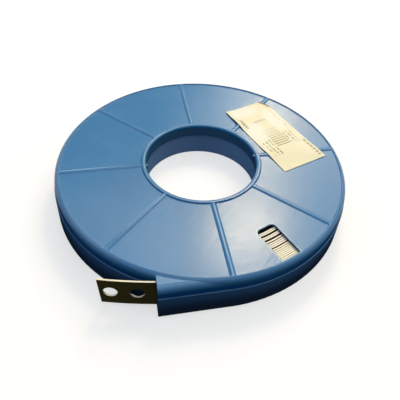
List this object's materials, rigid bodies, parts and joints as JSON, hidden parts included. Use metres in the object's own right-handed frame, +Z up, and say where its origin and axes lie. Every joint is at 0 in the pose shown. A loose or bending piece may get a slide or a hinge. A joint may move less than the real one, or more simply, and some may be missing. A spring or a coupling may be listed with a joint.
{
  "type": "perforated steel strip coil in a dispenser case",
  "caption": "Flat round dispenser case of blue plastic with radial ribs, a window and a paper label, holding a coil of perforated steel strip whose free end leaves a tangent outlet",
  "frame": {"origin": "on the bore's axis, in the plane of the underside", "axes": "+Z up along the bore's axis, the strip leaves towards -X, and the outlet's straight wall faces -Y"},
  "size_m": [0.16, 0.16, 0.0212],
  "materials": {
    "shell_plastic": "moulded blue plastic with a soft gloss and light scuffs",
    "strip_steel": "dark oiled faces with bright slit edges",
    "label_paper": "cream paper with faint print"
  },
  "bodies": {
    "root": {"lower_shell": "shell_plastic", "upper_shell": "shell_plastic", "steel_strip": "strip_steel", "label": "label_paper"}
  },
  "joints": []
}
